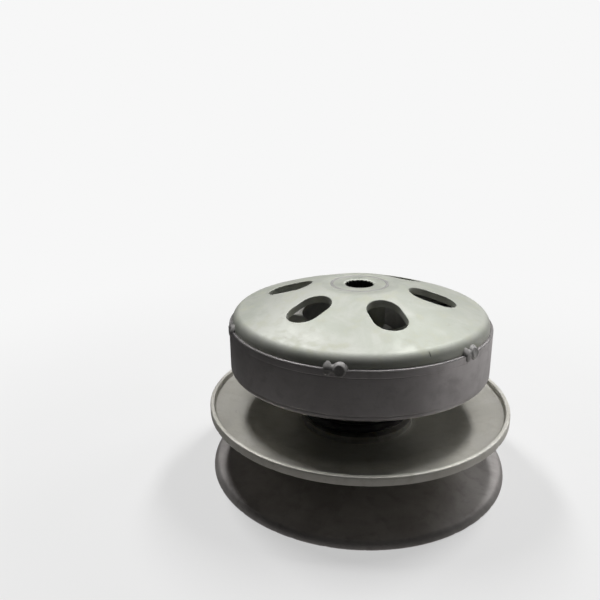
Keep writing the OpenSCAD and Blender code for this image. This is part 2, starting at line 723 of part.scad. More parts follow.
// Welds between band and bell, and the seam weld around the hub
module bell_welds() {
    bead_r = 3;
    bead_mid_r = bell_wall_r - 0.4;
    skin = bell_skin(fit);
    color([0.45, 0.45, 0.43]) {
        difference() {
            for (slip = [-1, 1]) around(3, weld_turn + 30 * (1 - slip) + slip * weld_slip - weld_arc / 2)
                rotate_extrude(angle = weld_arc, $fn = fine)
                    translate([bead_mid_r, band_top_z]) circle(r = bead_r, $fn = mid);
            turned(concat([[0, bell_rim_z], [0, bell_top]], skin));
            ring(0, band_r + fit, band_z, band_top_z + fit - band_z);
        }
        turned([
            [hub_r + fit, bell_top - 1.24], [hub_weld_r, bell_top + 0.06], [hub_weld_r - 0.5, bell_top + 0.2],
            [hub_r + 0.4, bell_top + 0.2], [hub_r + fit, bell_top + 0.1]
        ]);
    }
}

fixed_driven_disc();
driven_face_boss();
disc_rivets();
guide_pins();
bearing_outer_ring();
bearing_seal();
bearing_snap_ring();
bearing_inner_ring();
bearing_balls();
bearing_cage();
needle_shell();
needle_cage();
needle_rollers();
movable_driven_disc();
cam_sleeve();
sleeve_oil_seals();
collar_o_rings();
seal_collar();
guide_roller_1();
guide_roller_2();
guide_roller_3();
contra_spring();
upper_spring_seat();
clutch_drive_plate();
clutch_nut();
pivot_pins();
damper_posts();
damper_rubbers();
shoe_1();
shoe_2();
shoe_3();
shoe_lining_1();
shoe_lining_2();
shoe_lining_3();
shoe_spring_1();
shoe_spring_2();
shoe_spring_3();
clutch_side_plate();
pivot_clips();
clutch_bell();
bell_band();
bell_hub();
bell_welds();
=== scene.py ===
"""Looks of the driven pulley and clutch: finely shaped visible pieces, procedural materials, studio
and camera. Lengths in the shape code are millimetres in the part's frame; the meshes are in metres."""

import json
import math

import bmesh
import bpy
import numpy as np
from mathutils import Matrix, Vector


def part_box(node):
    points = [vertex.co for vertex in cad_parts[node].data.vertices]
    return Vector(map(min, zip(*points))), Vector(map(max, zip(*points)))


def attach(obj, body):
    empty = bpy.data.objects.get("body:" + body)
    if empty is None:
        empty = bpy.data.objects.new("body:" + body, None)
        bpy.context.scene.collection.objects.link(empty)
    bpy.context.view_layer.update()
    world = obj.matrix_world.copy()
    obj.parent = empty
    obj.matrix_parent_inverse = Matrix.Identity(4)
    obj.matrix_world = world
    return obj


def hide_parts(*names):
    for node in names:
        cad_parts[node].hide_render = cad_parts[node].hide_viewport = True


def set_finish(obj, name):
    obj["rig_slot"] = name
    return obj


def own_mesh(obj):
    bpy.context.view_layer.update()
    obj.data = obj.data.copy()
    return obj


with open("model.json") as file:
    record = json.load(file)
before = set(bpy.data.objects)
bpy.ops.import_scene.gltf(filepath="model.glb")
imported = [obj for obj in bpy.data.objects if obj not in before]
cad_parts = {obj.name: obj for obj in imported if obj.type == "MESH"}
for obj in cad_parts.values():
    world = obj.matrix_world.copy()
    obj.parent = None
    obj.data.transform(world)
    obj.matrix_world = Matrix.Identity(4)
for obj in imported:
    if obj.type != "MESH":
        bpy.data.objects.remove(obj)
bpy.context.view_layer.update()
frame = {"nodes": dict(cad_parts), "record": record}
nodes = frame["nodes"]
MM = 0.001
TURN = 2 * math.pi
MERGE = 1e-7      # points of a mesh that are nearer than this, in metres, become one


def low(node):
    """Lowest corner of a CAD node, in millimetres."""
    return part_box(node)[0] / MM


def high(node):
    """Highest corner of a CAD node, in millimetres."""
    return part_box(node)[1] / MM


def smooth(t):
    """Eases from 0 to 1."""
    t = min(1.0, max(0.0, t))
    return t * t * (3 - 2 * t)


# ---------------------------------------------------------------- mesh building


def mesh_of(name, verts, faces, drop_slivers=False):
    """A mesh from vertices in millimetres, with its doubled points merged and its faces turned outwards."""
    mesh = bpy.data.meshes.new(name)
    mesh.from_pydata([Vector(v) * MM for v in verts], [], faces)
    work = bmesh.new()
    work.from_mesh(mesh)
    bmesh.ops.remove_doubles(work, verts=work.verts, dist=MERGE)
    if drop_slivers:
        bmesh.ops.dissolve_degenerate(work, edges=work.edges, dist=MERGE)
    bmesh.ops.recalc_face_normals(work, faces=work.faces)
    work.to_mesh(mesh)
    work.free()
    return mesh


def make(name, body, stands_for, verts, faces, slot, sharp):
    """A piece on a body in place of a CAD node, shaded smooth up to the angle sharp, in degrees."""
    mesh = mesh_of(name, verts, faces)
    mesh.shade_smooth()
    mesh.set_sharp_from_angle(angle=math.radians(sharp))
    piece = bpy.data.objects.new(name, mesh)
    bpy.context.scene.collection.objects.link(piece)
    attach(piece, body)
    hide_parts(stands_for)
    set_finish(piece, slot)
    return piece


def rounded(corners, steps):
    """Closed outline of (r, z) from corners of (r, z, corner radius)."""
    most = 0.48      # share of a side that one corner may take
    out = []
    for i, (r, z, radius) in enumerate(corners):
        here = Vector((r, z))
        back = Vector(corners[i - 1][:2]) - here
        ahead = Vector(corners[(i + 1) % len(corners)][:2]) - here
        if radius <= 0:
            out.append((r, z))
            continue
        half = back.angle(ahead) / 2
        run = min(radius / math.tan(half), most * back.length, most * ahead.length)
        radius = run * math.tan(half)
        middle = here + (back.normalized() + ahead.normalized()).normalized() * radius / math.sin(half)
        start = here + back.normalized() * run - middle
        sweep = start.angle_signed(here + ahead.normalized() * run - middle)
        for k in range(steps + 1):
            a = math.atan2(start.y, start.x) - sweep * k / steps
            out.append((middle.x + radius * math.cos(a), middle.y + radius * math.sin(a)))
    return out


def divided(outline, longest):
    """The same outline with no side longer than longest."""
    out = []
    for i, a in enumerate(outline):
        b = outline[(i + 1) % len(outline)]
        count = max(1, math.ceil(math.dist(a, b) / longest))
        out += [(a[0] + (b[0] - a[0]) * k / count, a[1] + (b[1] - a[1]) * k / count) for k in range(count)]
    return out


def loop_faces(size, count, closed):
    """Faces between count rows of size vertices, the last row meeting the first."""
    faces = []
    for i in range(count):
        n = (i + 1) % count
        for j in range(size if closed else size - 1):
            k = (j + 1) % size
            faces.append((i * size + j, n * size + j, n * size + k, i * size + k))
    return faces


def spun(outline, count, warp=None, start=0.0, closed=True):
    """Vertices and faces of an outline turned about Z; warp moves a point, given its angle, r and z."""
    verts = []
    for i in range(count):
        a = start + TURN * i / count
        for r, z in outline:
            if warp:
                r, z = warp(a, r, z)
            verts.append((r * math.cos(a), r * math.sin(a), z))
    return verts, loop_faces(len(outline), count, closed)


def coil(path, radius, sides, up, z_min=-math.inf, z_max=math.inf):
    """Round wire along a path, with its ends closed, ground flat at z_min and z_max."""
    verts, faces = [], []
    for i, p in enumerate(path):
        heading = (path[min(i + 1, len(path) - 1)] - path[max(i - 1, 0)]).normalized()
        a = heading.cross(up).normalized()
        b = heading.cross(a)
        for j in range(sides):
            w = TURN * j / sides
            q = p + radius * (math.cos(w) * a + math.sin(w) * b)
            verts.append((q.x, q.y, min(z_max, max(z_min, q.z))))
    for i in range(len(path) - 1):
        for j in range(sides):
            k = (j + 1) % sides
            faces.append((i * sides + j, i * sides + k, (i + 1) * sides + k, (i + 1) * sides + j))
    last = (len(path) - 1) * sides
    faces.append(tuple(range(sides))[::-1])
    faces.append(tuple(last + j for j in range(sides)))
    return verts, faces


def joined(parts):
    """Vertices and faces of several parts as one list of each."""
    verts, faces = [], []
    for v, f in parts:
        faces += [tuple(len(verts) + i for i in face) for face in f]
        verts += v
    return verts, faces


# ---------------------------------------------------------------- sizes shared by the pieces

GROOVE_ANGLE = 14                          # degrees, of each side of the belt groove
GROOVE = math.tan(math.radians(GROOVE_ANGLE))
SHEET = 3.2 / math.cos(math.radians(GROOVE_ANGLE))
FIT = 0.02
BELL_TOP = high("bell_hub").z
BELL_WALL = 66.0
BELL_SHEET = 3.5
SHOULDER = 6.0                             # rounding between the dome and the wall
DOME_FLAT = 20.0
DOME_SLOPE, DOME_BOW = 0.2483, 0.001167    # the dome falls by slope * x + bow * x * x
WINDOW_TURN = math.radians(-69.4)
SIXTH = TURN / 6
WELD_SLIP = math.radians(1.4)              # how far each weld is off the middle between two windows
WELD_TURNS = [WINDOW_TURN + (i - 0.5) * SIXTH + WELD_SLIP * (-1) ** i for i in range(6)]


def dome_z(r):
    """Height of the dome's outside."""
    return BELL_TOP - DOME_SLOPE * (r - DOME_FLAT) - DOME_BOW * (r - DOME_FLAT) ** 2


def dome_fall(r):
    """Slope of the dome, which is level inside DOME_FLAT."""
    return DOME_SLOPE + 2 * DOME_BOW * (r - DOME_FLAT) if r > DOME_FLAT else 0.0


def lining_z(r):
    """Height of the inside of the bell's sheet."""
    outer = dome_z(r) if r > DOME_FLAT else BELL_TOP
    return outer - BELL_SHEET * math.hypot(1, dome_fall(r))


# ---------------------------------------------------------------- the bell

SHOULDER_MID_R = BELL_WALL - SHOULDER
END_ANGLE = math.atan(dome_fall(SHOULDER_MID_R + 2))
DOME_END = SHOULDER_MID_R + SHOULDER * math.sin(END_ANGLE)
SHOULDER_MID_Z = dome_z(DOME_END) - SHOULDER * math.cos(END_ANGLE)
RIM_Z = low("clutch_bell").z
HOLE_R = 13.52
WINDOW_R, WINDOW_HALF_L, WINDOW_HALF_W = 37.1, 11.8, 8.3
FIELD_IN, FIELD_OUT = 21.5, 54.0          # the windows lie in the field between these radii
STEP = 60                                  # points on a sixth of a turn
SIDE = 30                                  # points along a field's straight side


def window_edge(direction):
    """Distance from a window's middle to its edge; the window is a round-ended slot, long way on angle 0."""
    c, s = abs(math.cos(direction)), abs(math.sin(direction))
    reach = WINDOW_HALF_L - WINDOW_HALF_W
    if WINDOW_HALF_W * c <= reach * s:
        return WINDOW_HALF_W / s
    return reach * c + math.sqrt(WINDOW_HALF_W**2 - (reach * s) ** 2)


def field_edge():
    """Points of a field's outline, counter-clockwise, for a window whose middle is on the X axis."""
    half = SIXTH / 2
    edge = [(FIELD_OUT, -half + SIXTH * i / STEP) for i in range(STEP)]
    edge += [(FIELD_OUT + (FIELD_IN - FIELD_OUT) * i / SIDE, half) for i in range(SIDE)]
    edge += [(FIELD_IN, half - SIXTH * i / STEP) for i in range(STEP)]
    edge += [(FIELD_IN + (FIELD_OUT - FIELD_IN) * i / SIDE, -half) for i in range(SIDE)]
    return [Vector((r * math.cos(a), r * math.sin(a))) for r, a in edge]


def bell_fields():
    """The six fields of the dome, each a sheet around a window with a rolled upper edge."""
    roll, burr = 0.45, 0.25                    # rounding of a window's upper and lower edge
    rings, roll_steps, burr_steps = 14, 5, 3
    crowding = 0.8                             # draws the rings of points towards the window
    middle = Vector((WINDOW_R, 0))
    edge = field_edge()
    shares = [(k / rings) ** crowding for k in range(rings + 1)]
    section = [("skin", share, 0.0) for share in shares]
    for k in range(1, roll_steps + 1):
        a = math.pi / 2 * k / roll_steps
        section.append(("roll", roll * (1 - math.sin(a)), roll * (1 - math.cos(a))))
    for k in range(burr_steps + 1):
        a = math.pi / 2 * k / burr_steps
        section.append(("burr", burr * (1 - math.cos(a)), burr * (1 - math.sin(a))))
    section += [("lining", share, 0.0) for share in shares[::-1]]
    parts = []
    for window in range(6):
        turn = Matrix.Rotation(WINDOW_TURN + window * SIXTH, 2)
        verts = []
        for p in edge:
            out = p - middle
            angle = math.atan2(out.y, out.x)
            way = out.normalized()
            rim = window_edge(angle)
            for kind, a, b in section:
                if kind in ("skin", "lining"):
                    margin = rim + (roll if kind == "skin" else burr)
                    q = middle + way * (out.length + (margin - out.length) * a)
                    r = q.length
                    z = dome_z(r) if kind == "skin" else lining_z(r)
                else:
                    q = middle + way * (rim + a)
                    r = q.length
                    z = dome_z(r) - b if kind == "roll" else lining_z(r) + b
                q = turn @ q
                verts.append((q.x, q.y, z))
        parts.append((verts, loop_faces(len(section), len(edge), closed=False)))
    return joined(parts)


def arc(r, z, radius, a, b, steps):
    """Points on a circle about (r, z) from angle a to angle b, in degrees."""
    return [
        (r + radius * math.cos(math.radians(a + (b - a) * i / steps)),
         z + radius * math.sin(math.radians(a + (b - a) * i / steps)))
        for i in range(steps + 1)
    ]


def build_bell():
    """The bell's pressing: the dome's fields, the sheet from them to the rim and back, and the flat top."""
    end = math.degrees(END_ANGLE)
    turn = WINDOW_TURN - SIXTH / 2
    span = DOME_END - FIELD_OUT
    bevel = 0.3
    wall_in = BELL_WALL - BELL_SHEET
    skin = [(FIELD_OUT + span * i / 6, dome_z(FIELD_OUT + span * i / 6)) for i in range(6)]
    skin += arc(SHOULDER_MID_R, SHOULDER_MID_Z, SHOULDER, 90 - end, 0, 16)
    skin += [(BELL_WALL, z) for z in np.linspace(SHOULDER_MID_Z, RIM_Z + bevel, 12)[1:]]
    skin += [(BELL_WALL - bevel, RIM_Z), (wall_in + bevel, RIM_Z)]
    skin += [(wall_in, z) for z in np.linspace(RIM_Z + bevel, SHOULDER_MID_Z, 12)]
    skin += arc(SHOULDER_MID_R, SHOULDER_MID_Z, SHOULDER - BELL_SHEET, 0, 90 - end, 10)[1:]
    skin += [(r, lining_z(r)) for r in np.linspace(skin[-1][0], FIELD_OUT, 5)[1:]]
    ease, sink = 0.4, 0.02                     # softens the step from the flat top to the dome
    seam_deep, seam_wide = 1.3, 1.58           # the bevel that holds the hub's weld seam
    top = [(FIELD_IN, lining_z(FIELD_IN)), (DOME_FLAT + ease, lining_z(DOME_FLAT + ease))]
    top += [(DOME_FLAT - 0.6, BELL_TOP - BELL_SHEET), (HOLE_R, BELL_TOP - BELL_SHEET)]
    top += [(HOLE_R, BELL_TOP - seam_deep), (HOLE_R + seam_wide, BELL_TOP)]
    top += [(r, BELL_TOP - sink * smooth((r - 18) / 3)) for r in (16.5, 18.0, 19.0)]
    top += [(r, dome_z(max(r, DOME_FLAT)) - sink) for r in (20.2, 20.8)]
    top += [(FIELD_IN, dome_z(FIELD_IN))]
    verts, faces = joined([
        bell_fields(),
        spun(skin, 6 * STEP, start=turn, closed=False),
        spun(top, 6 * STEP, start=turn, closed=False),
    ])
    return make("clutch_bell_pressing", "bell", "clutch_bell", verts, faces, "bell_steel", 40)


bell = build_bell()


# ---------------------------------------------------------------- band, welds and hub of the bell

BAND_LOW, BAND_TOP = low("bell_band").z, high("bell_band").z
BAND_R = high("bell_band").x
DIP_REACH, DIP_TALL, DIP = math.radians(7), 3, 0.55


def to_weld(a):
    """Angle from a direction to the nearest weld."""
    return min(abs((a - turn + math.pi) % TURN - math.pi) for turn in WELD_TURNS)


def band_warp(a, r, z):
    """The band's upper edge is drawn down a little where it runs into a weld."""
    if z > BAND_TOP - DIP_TALL:
        z -= DIP * smooth(1 - to_weld(a) / DIP_REACH) * smooth((z - BAND_TOP + DIP_TALL) / DIP_TALL)
    return r, z


def build_band():
    """The band, with a turned line near its lower edge and a fainter one near its upper edge."""
    line, faint = BAND_LOW + 2.3, BAND_TOP - 3.7
    outline = rounded([
        (BELL_WALL + FIT, BAND_LOW, 0.2), (BAND_R - 0.5, BAND_LOW, 0.35), (BAND_R, BAND_LOW + 0.9, 0.5),
        (BAND_R, line - 0.28, 0.1), (BAND_R - 0.1, line, 0.08), (BAND_R, line + 0.28, 0.1),
        (BAND_R, faint - 0.3, 0.1), (BAND_R - 0.08, faint, 0.08), (BAND_R, faint + 0.3, 0.1),
        (BAND_R, BAND_TOP - 0.5, 0.25), (BAND_R - 0.45, BAND_TOP, 0.2), (BELL_WALL + FIT, BAND_TOP, 0.1),
    ], 4)
    verts, faces = spun(divided(outline, 2.2), 540, band_warp)
    return make("bell_band_ring", "bell", "bell_band", verts, faces, "band_steel", 50)


WELD_MID = -0.5                             # height of a weld's middle above the band's upper edge
CRATER_U, CRATER_R = 1.75, 3.15            # place along the band and radius of the crater
LOBE_U, LOBE_HALF_U, LOBE_HALF_V = -3.55, 1.85, 3.2


def weld_base(v):
    """Radius of the bell's outside at a height v above the band's upper edge."""
    if v < 0.45:
        return BAND_R - 0.75 * smooth((v + 0.5) / 0.9)
    over = min(0.95, max(0.0, (BAND_TOP + v - SHOULDER_MID_Z) / SHOULDER))
    return SHOULDER_MID_R + SHOULDER * math.sqrt(1 - over * over)


def weld_bridge(v):
    """Radius of a weld's body, which fills the ledge between the band and the bell's shoulder."""
    rise = min(1.0, max(0.0, (v + 0.6) / 4.0))
    return BAND_R - (BAND_R - weld_base(3.4)) * rise**1.3


def swell(distance, height, fall):
    """A flat-topped swelling whose foot is at distance 1, and its slope outside."""
    return height * (1 - distance**4) if distance < 1 else fall * (1 - distance)


def weld_height(u, v, phase):
    """Height of the weld over its body: a flattened lobe beside a round crater with a raised rim."""
    rise = v - WELD_MID
    to_crater = math.hypot(u - CRATER_U, rise) / CRATER_R
    ring = 0.30 * math.exp(-(((to_crater - 0.72) / 0.17) ** 2))
    pit = 0.28 * math.exp(-((to_crater / 0.5) ** 2))
    crater = swell(to_crater, 0.62, 3.4)
    crater += ring - pit
    crater += 0.12 * math.sin(2 * math.atan2(rise, u - CRATER_U) - 0.9 + phase) * min(1.0, to_crater)
    lobe = swell(math.hypot((u - LOBE_U) / LOBE_HALF_U, rise / LOBE_HALF_V), 0.55, 3.0)
    lobe += 0.07 * math.sin(2.1 * v + phase)
    neck = 0.3 - 0.9 * (abs(rise) / 2.2) ** 4 if abs(u + 1) < 2.6 else -1.5
    return max(crater, lobe, neck)


def weld_blob(turn, seed):
    """One resistance weld, a shaped skin over a plain back that is buried in the band."""
    phase = np.random.default_rng(seed).uniform(0, 1.5)
    left, width, foot, height = -5.8, 11.2, -4.2, 7.6
    buried, back = 0.5, 1.2                    # how deep the skin's border and the back lie
    wide, tall = 64, 44
    verts, faces = [], []
    for i in range(wide + 1):
        u = left + width * i / wide
        a = turn + u / (BAND_R + 0.4)
        for j in range(tall + 1):
            v = foot + height * j / tall
            r = max(weld_base(v) - buried, weld_bridge(v) + weld_height(u, v, phase))
            verts.append((r * math.cos(a), r * math.sin(a), BAND_TOP + v))
    size = tall + 1
    front = len(verts)
    for x, y, z in list(verts):
        k = (weld_base(z - BAND_TOP) - back) / math.hypot(x, y)
        verts.append((x * k, y * k, z))
    for i in range(wide):
        for j in range(tall):
            here = (i * size + j, (i + 1) * size + j, (i + 1) * size + j + 1, i * size + j + 1)
            faces += [here, tuple(front + k for k in here[::-1])]
    border = [i * size for i in range(wide + 1)] + [wide * size + j for j in range(1, size)]
    border += [i * size + tall for i in range(wide - 1, -1, -1)] + [j for j in range(tall - 1, 0, -1)]
    for k, here in enumerate(border):
        ahead = border[(k + 1) % len(border)]
        faces.append((here, ahead, front + ahead, front + here))
    return verts, faces


def seam_warp(a, r, z):
    """Small ripples on the top of the seam around the hub."""
    ripple = math.sin(90 * a + 2 * math.sin(5 * a)) * 0.02 + 0.02 * math.sin(7 * a + 1)
    return r, z + ripple * smooth((z - BELL_TOP) / 0.15)


def build_welds():
    """The six welds on the band and the seam between the hub and the flat top."""
    parts = [weld_blob(turn, 11 + i) for i, turn in enumerate(WELD_TURNS)]
    seam = rounded([
        (HOLE_R, BELL_TOP - 1.2, 0), (15.08, BELL_TOP - 0.02, 0.1), (14.7, BELL_TOP + 0.1, 0.6),
        (13.9, BELL_TOP + 0.1, 0.6), (HOLE_R, BELL_TOP - 0.02, 0.1),
    ], 4)
    parts.append(spun(seam, 720, seam_warp))
    verts, faces = joined(parts)
    return make("bell_weld_beads", "bell", "bell_welds", verts, faces, "weld_metal", 45)


SPLINE_TEETH, TOOTH_R, ROOT_R = 20, 7.0, 7.8
BORE_EDGE = ROOT_R + 0.7                   # the hub's outline inside this radius is the bore


def spline_warp(a, r, z):
    """Turns the hub's bore into teeth with steep sides."""
    if r > BORE_EDGE:
        return r, z
    steep = 2.2
    wave = math.cos(SPLINE_TEETH * a)
    tooth = 0.5 + 0.5 * math.tanh(steep * wave) / math.tanh(steep)
    return r + (ROOT_R - TOOTH_R) * (1 - tooth) * smooth((BORE_EDGE - r) / 0.3), z


def build_hub():
    """The splined hub, with a collar under the bell's sheet."""
    hub_r, collar_r = 13.5, 18
    bottom = low("bell_hub").z
    collar = BELL_TOP - BELL_SHEET - 0.01
    outline = rounded([
        (TOOTH_R + 0.5, bottom, 0), (hub_r - 0.8, bottom, 0.3), (hub_r, bottom + 0.8, 0.3),
        (hub_r, collar - 3.4, 0.4), (collar_r, collar - 2.4, 0.3), (collar_r, collar, 0.2),
        (hub_r, collar, 0), (hub_r, BELL_TOP, 0.15), (ROOT_R + 0.75, BELL_TOP, 0.15),
        (TOOTH_R + 0.12, BELL_TOP - 0.42, 0.12), (TOOTH_R, BELL_TOP - 0.9, 0.1), (TOOTH_R, bottom + 0.5, 0.1),
    ], 3)
    verts, faces = spun(divided(outline, 4), SPLINE_TEETH * 18, spline_warp)
    return make("bell_splined_hub", "bell", "bell_hub", verts, faces, "bell_steel", 38)


band, welds, hub = build_band(), build_welds(), build_hub()


# ---------------------------------------------------------------- the two faces of the belt groove

FIXED_RIM = high("fixed_driven_disc").x
MOVABLE_RIM = high("movable_driven_disc").x
LIP_TOP = high("movable_driven_disc").z
CENTRE_R, BOSS_R, SLEEVE_R = 30.0, 16.99, 22.0
GROOVE_R, FIXED_Z, MOVABLE_Z = 76, 4, 32.05    # a radius, and the height of each side of the groove there
LIP_WIDE, LIP_FOOT = 2.4, 32.8


def fixed_z(r):
    """Height of the fixed face's side of the groove."""
    return FIXED_Z + (GROOVE_R - r) * GROOVE


def movable_z(r):
    """Height of the movable face's side of the groove."""
    return MOVABLE_Z - (GROOVE_R - r) * GROOVE


def nicks(count, seed, size):
    """Random small dents, up to size wide: angle, width in radians, depth."""
    rng = np.random.default_rng(seed)
    dents = []
    for _ in range(count):
        at = rng.uniform(0, TURN)
        width = rng.uniform(0.4, 1.0) * size / 79
        dents.append((at, width, rng.uniform(0.08, 0.22)))
    return dents


def dented(a, dents):
    """Depth of the dents in a direction."""
    depth = 0.0
    for at, width, deep in dents:
        away = abs((a - at + math.pi) % TURN - math.pi)
        if away < width:
            depth = max(depth, deep * smooth(1 - away / width))
    return depth


LIP_DENTS = nicks(46, 5, 1.5)
EDGE_DENTS = nicks(30, 6, 2.0)


def movable_warp(a, r, z):
    """Dents in the lip's upper edge and in its foot."""
    if r > MOVABLE_RIM - 1.2 and z > LIP_TOP - 1.2:
        depth = dented(a, LIP_DENTS)
        return r - depth * 0.8, z - depth
    if r > MOVABLE_RIM - 0.7 and z < LIP_TOP - 3.8:
        depth = dented(a, EDGE_DENTS)
        return r - depth, z + depth * 0.5
    return r, z


def fixed_warp(a, r, z):
    """Dents in the rim."""
    if r > FIXED_RIM - 1.4:
        r -= dented(a, EDGE_DENTS)
    return r, z


def build_movable_face():
    """The pressed cone with its upright lip."""
    lip_in = MOVABLE_RIM - LIP_WIDE
    outline = rounded([
        (SLEEVE_R + FIT, movable_z(CENTRE_R), 0.4), (CENTRE_R, movable_z(CENTRE_R), 1.5),
        (MOVABLE_RIM - 1.2, movable_z(MOVABLE_RIM - 1.2), 0.5), (MOVABLE_RIM, LIP_FOOT + 0.6, 0.5),
        (MOVABLE_RIM, LIP_TOP, 0.7), (lip_in, LIP_TOP, 0.6),
        (lip_in, movable_z(lip_in) + SHEET - 0.3, 1.6),
        (CENTRE_R + 2.5, movable_z(CENTRE_R + 2.5) + SHEET, 3.0),
        (CENTRE_R + 1, movable_z(CENTRE_R) + SHEET, 1.0), (SLEEVE_R + FIT, movable_z(CENTRE_R) + SHEET, 0.3),
    ], 6)
    verts, faces = spun(divided(outline, 4), 720, movable_warp)
    return make("movable_face_pressing", "movable_face", "movable_driven_disc", verts, faces,
                "movable_face_steel", 40)


def rivet_sinks(back, flat):
    """A cutter for the six stepped holes that hold the rivets between the disc's back and its flat middle."""
    ring_r, hole_r, head_r, past = 25.5, 2.0, 4.3, 1
    outline = [(0.0, back - past), (hole_r, back - past), (hole_r, flat - 1.3), (head_r, flat + past),
               (0.0, flat + past)]
    sinks = []
    for i in range(6):
        a = i * SIXTH
        verts, faces = spun(outline, 40)
        sinks.append(([(x + ring_r * math.cos(a), y + ring_r * math.sin(a), z) for x, y, z in verts], faces))
    cutter = bpy.data.objects.new("sinks", mesh_of("sinks", *joined(sinks), drop_slivers=True))
    bpy.context.scene.collection.objects.link(cutter)
    return cutter


def build_fixed_face():
    """The pressed cone that stands on its rolled rim, with holes for the rivets."""
    flat = fixed_z(CENTRE_R)
    back = flat - SHEET
    rim_round = 4.0
    lean = math.radians(GROOVE_ANGLE)
    mid_r = FIXED_RIM - rim_round
    mid_z = fixed_z(mid_r + rim_round * math.sin(lean)) - rim_round * math.cos(lean)
    web = 72.6                                 # where the underside runs into the rim
    outline = [(BOSS_R + FIT, back), (BOSS_R + FIT, flat), (CENTRE_R - 1.5, flat),
               (CENTRE_R - 0.5, flat - 0.02), (CENTRE_R + 0.6, fixed_z(CENTRE_R + 0.6))]
    outline += arc(mid_r, mid_z, rim_round, 90 - GROOVE_ANGLE, 0, 14)
    outline += [(FIXED_RIM, 0.5), (FIXED_RIM - 0.12, 0.15), (FIXED_RIM - 0.45, 0), (75.8, 0), (75.5, 0.1)]
    outline += [(web + 0.5, fixed_z(web) - SHEET - 0.5), (web - 0.6, fixed_z(web - 0.6) - SHEET),
                (CENTRE_R + 1, fixed_z(CENTRE_R + 1) - SHEET), (CENTRE_R - 1, back)]
    verts, faces = spun(divided(outline, 4), 720, fixed_warp)
    disc = make("fixed_face_pressing", "driven_face", "fixed_driven_disc", verts, faces,
                "fixed_face_steel", 40)
    cutter = rivet_sinks(back, flat)
    holes = disc.modifiers.new("holes", "BOOLEAN")
    holes.operation, holes.object, holes.solver = "DIFFERENCE", cutter, "EXACT"
    bpy.context.view_layer.update()
    cut = bpy.data.meshes.new_from_object(disc.evaluated_get(bpy.context.evaluated_depsgraph_get()))
    disc.modifiers.clear()
    disc.data = cut
    bpy.data.objects.remove(cutter)
    return disc


movable_face, fixed_face = build_movable_face(), build_fixed_face()


# ---------------------------------------------------------------- springs

SPRING_LOW, SPRING_TOP = low("contra_spring").z, high("contra_spring").z


def coil_z(turn, turns, wire):
    """Height of the contra spring's wire after some turns; its ends are closed."""
    closed, pitch = 0.9, wire + 0.08
    open_pitch = (SPRING_TOP - SPRING_LOW - 2 * closed * pitch) / (turns - 2 * closed)
    return (SPRING_LOW + min(turn, closed) * pitch
            + max(0.0, min(turn, turns - closed) - closed) * open_pitch
            + max(0.0, turn - turns + closed) * pitch)


def build_contra_spring():
    """The big spring. On the clutch it shortens as the movable face slides open; this mesh keeps one length.
    """
    turns, mean_r, wire = 4.75, 26.9, 4.4
    steps = round(turns * 96)
    path = []
    for i in range(steps + 1):
        t = turns * i / steps
        x, y = mean_r * math.cos(TURN * t), mean_r * math.sin(TURN * t)
        path.append(Vector((x, y, coil_z(t, turns, wire))))
    verts, faces = coil(path, wire / 2, 28, Vector((0, 0, 1)), SPRING_LOW, SPRING_TOP)
    piece = make("contra_spring_coil", "driven_face", "contra_spring", verts, faces, "spring_steel", 30)
    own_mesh(piece)
    return piece


def build_shoe_spring(i):
    """The coil that draws shoe i to its neighbour, with a leg down at each end."""
    mid_r, mid_z, half = 38.0, 78.6, 12.05     # the coil's axis, and half its length
    radius, wire_r, turns = 2.2, 0.6, 9.5
    leg_low, leg_high = 70.0, mid_z - wire_r
    clutch_turn, shoe_turn, to_hooks = -20, 120, 110
    steps = round(turns * 28)
    path = [Vector((mid_r + radius, -half, z)) for z in np.linspace(leg_low, leg_high, 6)]
    for k in range(steps + 1):
        w = TURN * turns * k / steps
        x, z = mid_r + radius * math.cos(w), mid_z + radius * math.sin(w)
        path.append(Vector((x, half * (2 * k / steps - 1), z)))
    path += [Vector((mid_r - radius, half, z)) for z in np.linspace(leg_high, leg_low, 6)]
    turn = Matrix.Rotation(math.radians(clutch_turn + shoe_turn * (i - 2) + to_hooks), 3, "Z")
    verts, faces = coil([turn @ p for p in path], wire_r, 12, turn @ Vector((0, 1, 0)))
    return make(f"shoe_spring_coil_{i}", f"clutch_shoe_{i}", f"shoe_spring_{i}", verts, faces,
                "small_spring_steel", 30)


contra_spring = build_contra_spring()
shoe_springs = [build_shoe_spring(i) for i in (1, 2, 3)]


# ---------------------------------------------------------------- materials


class Nodes:
    """The node tree of a material or a world, built by method calls."""

    def __init__(self, owner):
        owner.use_nodes = True
        self.tree = owner.node_tree
        self.tree.nodes.clear()

    def add(self, kind, inputs=None, **settings):
        """A node; inputs holds a socket to link or a value for each input."""
        node = self.tree.nodes.new(kind)
        for key, value in settings.items():
            setattr(node, key, value)
        for key, value in (inputs or {}).items():
            if isinstance(value, bpy.types.NodeSocket):
                self.tree.links.new(value, node.inputs[key])
            else:
                node.inputs[key].default_value = value
        return node

    def math(self, operation, a, b=0.0):
        return self.add("ShaderNodeMath", {0: a, 1: b}, operation=operation).outputs[0]

    def dot(self, a, b):
        return self.add("ShaderNodeVectorMath", {0: a, 1: b}, operation="DOT_PRODUCT").outputs["Value"]

    def spread(self, value, a, b, to_a=0.0, to_b=1.0):
        """Maps a..b to to_a..to_b with soft ends."""
        inputs = {"Value": value, "From Min": a, "From Max": b, "To Min": to_a, "To Max": to_b}
        return self.add("ShaderNodeMapRange", inputs, interpolation_type="SMOOTHSTEP").outputs["Result"]

    def camera_only(self, seen, unseen):
        """A shader that the camera sees as seen, and that lights the object as unseen."""
        sight = self.add("ShaderNodeLightPath").outputs["Is Camera Ray"]
        return self.add("ShaderNodeMixShader", {0: sight, 1: unseen, 2: seen}).outputs[0]


